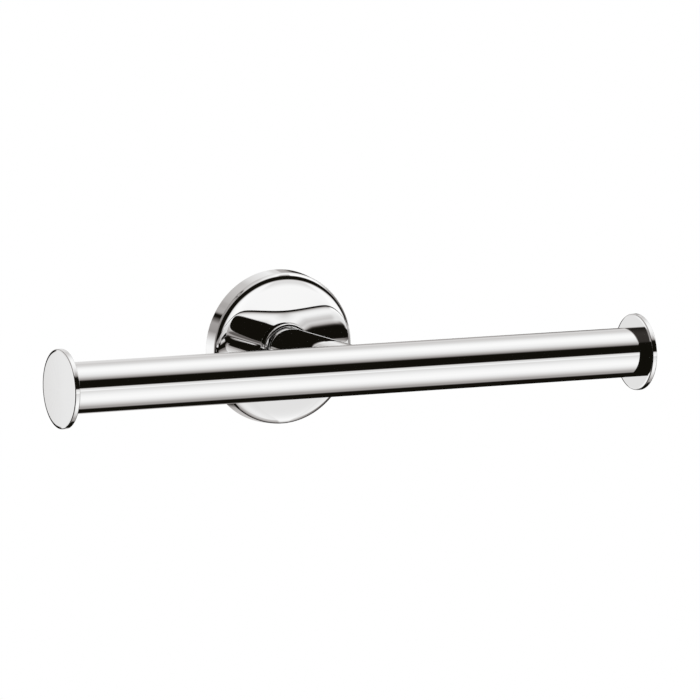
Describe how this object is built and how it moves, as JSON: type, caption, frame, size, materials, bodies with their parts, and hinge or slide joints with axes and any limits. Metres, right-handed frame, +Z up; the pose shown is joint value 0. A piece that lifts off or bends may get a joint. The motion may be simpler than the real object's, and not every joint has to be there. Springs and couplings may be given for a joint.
{
  "type": "double toilet roll holder",
  "caption": "Wall-mounted double toilet roll holder: a round chromed bar with disc ends, carried at its middle by a post on a round rosette.",
  "frame": {"origin": "centre of the wall bracket's flat back, where it meets the wall", "axes": "+X along the bar, to the right as one faces the wall; +Y into the wall; +Z up"},
  "size_m": [0.282, 0.1285, 0.069],
  "materials": {
    "chrome": "polished",
    "plated_zinc": "satin",
    "steel": "satin",
    "brass": "satin",
    "nylon": "matte"
  },
  "bodies": {
    "root": {"rosette": "chrome", "foot_ring": "chrome", "post": "chrome", "bar_tube": "chrome", "end_disc_left": "chrome", "end_disc_right": "chrome", "wall_bracket": "plated_zinc", "anchor_block": "plated_zinc", "end_plug_left": "brass", "end_plug_right": "brass", "clamp_bolt": "steel", "lock_washer": "steel", "locating_pin": "steel", "set_screw": "steel", "wall_screw_upper": "steel", "wall_screw_lower": "steel", "screw_washer_upper": "steel", "screw_washer_lower": "steel", "wall_plug_upper": "nylon", "wall_plug_lower": "nylon"}
  },
  "joints": []
}
